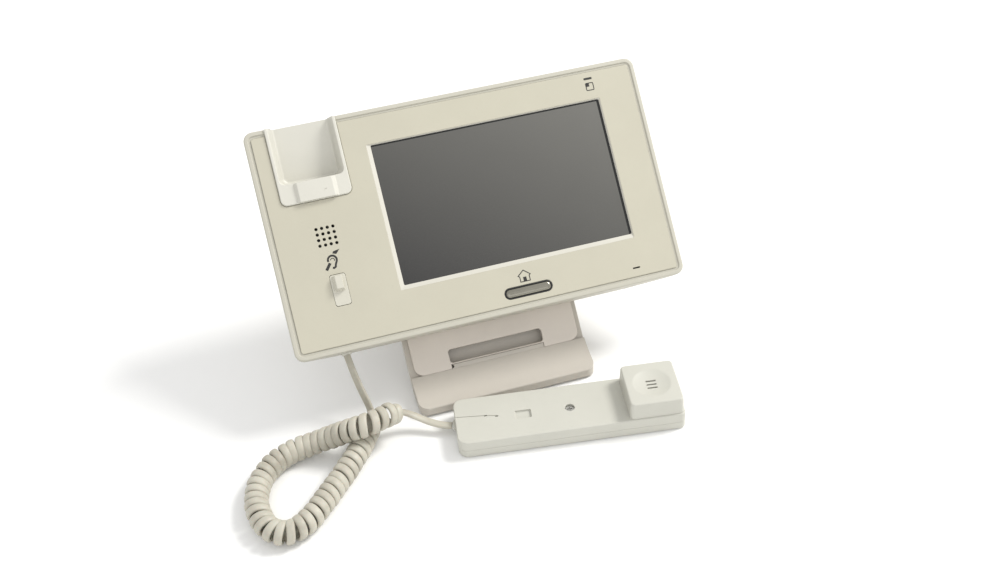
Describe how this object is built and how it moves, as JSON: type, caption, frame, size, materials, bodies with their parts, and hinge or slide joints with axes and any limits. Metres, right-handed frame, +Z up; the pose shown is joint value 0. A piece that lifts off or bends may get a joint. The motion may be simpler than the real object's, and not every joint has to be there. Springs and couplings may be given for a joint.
{
  "type": "video intercom monitor",
  "caption": "Desk video intercom station: inclined touch screen monitor on a folding stand, with a hook cradle and a handset on a curly cord.",
  "frame": {"origin": "on the desk, at the middle of the underside of the stand's front foot", "axes": "+X along the monitor's width to the user's right, -Y towards the user, +Z up"},
  "size_m": [0.3107, 0.2224, 0.1594],
  "materials": {
    "white_plastic": "fine satin moulded surface",
    "cream_plastic": "fine satin moulded surface, slightly creamier than the rim",
    "stand_plastic": "fine moulded texture",
    "screen_glass": "anti-glare dark grey",
    "clear_lens": "smoked, smooth",
    "chrome": "polished",
    "steel": "zinc plated",
    "circuit_board": "solder mask",
    "black_plastic": "moulded",
    "rubber": "matt",
    "cord_plastic": "soft smooth jacket"
  },
  "bodies": {
    "root": {"front_frame": "white_plastic", "front_plate": "cream_plastic", "handset_cradle": "white_plastic", "touch_glass": "screen_glass", "glass_gasket": "rubber", "lcd_module": "black_plastic", "lcd_chassis": "steel", "main_board": "circuit_board", "audio_board": "circuit_board", "status_led_lens": "clear_lens", "monitor_speaker": "black_plastic", "monitor_microphone": "black_plastic", "home_switch": "black_plastic", "hook_lever_pin": "steel", "hook_spring": "steel", "hook_switch": "black_plastic", "rear_housing": "white_plastic", "terminal_block": "black_plastic", "mounting_bracket": "steel", "bracket_screws": "steel", "housing_screws": "steel", "cord_gland": "white_plastic", "stand_base": "stand_plastic", "stand_plate": "stand_plastic", "stand_screws": "steel", "front_foot_pad": "rubber", "leg_pin": "steel", "cord_tail_monitor": "cord_plastic", "cord_coil": "cord_plastic", "cord_tail_handset": "cord_plastic"},
    "hook": {"hook_lever": "white_plastic"},
    "home": {"home_button": "chrome"},
    "leg": {"rear_leg": "stand_plastic", "leg_foot_strip": "rubber"},
    "handset": {"handset_front_shell": "white_plastic", "handset_back_shell": "white_plastic", "earpiece_speaker": "black_plastic", "handset_microphone": "black_plastic", "handset_weight": "steel", "handset_screw": "steel", "handset_grommet": "white_plastic"}
  },
  "joints": [
    {"name": "leg_fold", "type": "hinge", "parent": "root", "child": "leg", "pos_m": [0, 0.09989, 0.08037], "axis": [1, 0, 0], "range_deg": [-50, 0]},
    {"name": "hook_press", "type": "hinge", "parent": "root", "child": "hook", "pos_m": [-0.0928, 0.03165, 0.07365], "axis": [1, 0, 0], "range_deg": [-6, 0], "stiffness_Nm_per_rad": 0.1, "springref_deg": 2.86},
    {"name": "home_press", "type": "slide", "parent": "root", "child": "home", "axis": [0, 0.7071, -0.7071], "range_m": [0, 0.0008], "stiffness_N_per_m": 400, "springref_m": -0.0005},
    {"name": "handset_lift", "type": "slide", "parent": "root", "child": "handset", "axis": [0, 0, 1], "range_m": [0, 0.1]}
  ]
}
